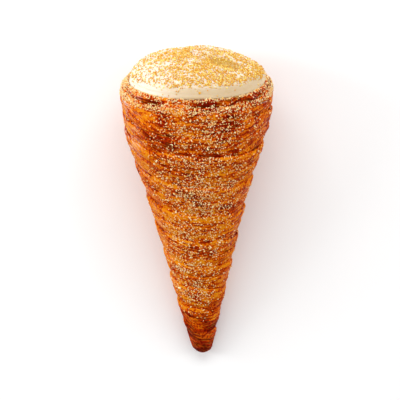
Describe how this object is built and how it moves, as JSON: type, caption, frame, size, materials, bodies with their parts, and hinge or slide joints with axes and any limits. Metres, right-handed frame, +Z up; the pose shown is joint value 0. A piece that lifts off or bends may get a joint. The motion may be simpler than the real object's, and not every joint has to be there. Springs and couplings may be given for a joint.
{
  "type": "cream horn pastry",
  "caption": "Pointed horn of wound puff pastry filled with cream that domes out of its round mouth, lying on its side",
  "frame": {"origin": "on the surface it rests on, under the centre of the bounding box", "axes": "+Z up, +Y from the tip towards the mouth, +X to the right when looking down on it with the mouth at the top"},
  "size_m": [0.0624, 0.1354, 0.0628],
  "materials": {
    "baked_pastry": "golden to red-brown flaky crust with a thin sugar glaze, darker in the creases and at the tip",
    "cream": "smooth ivory pastry cream with a soft sheen",
    "sugar_grains": "pale golden grains of sugar and ground nuts that stick to the crust and the rim",
    "crumb_topping": "golden yellow crumbs strewn over the cream"
  },
  "bodies": {
    "root": {"pastry_horn": "baked_pastry", "cream_filling": "cream"}
  },
  "joints": []
}
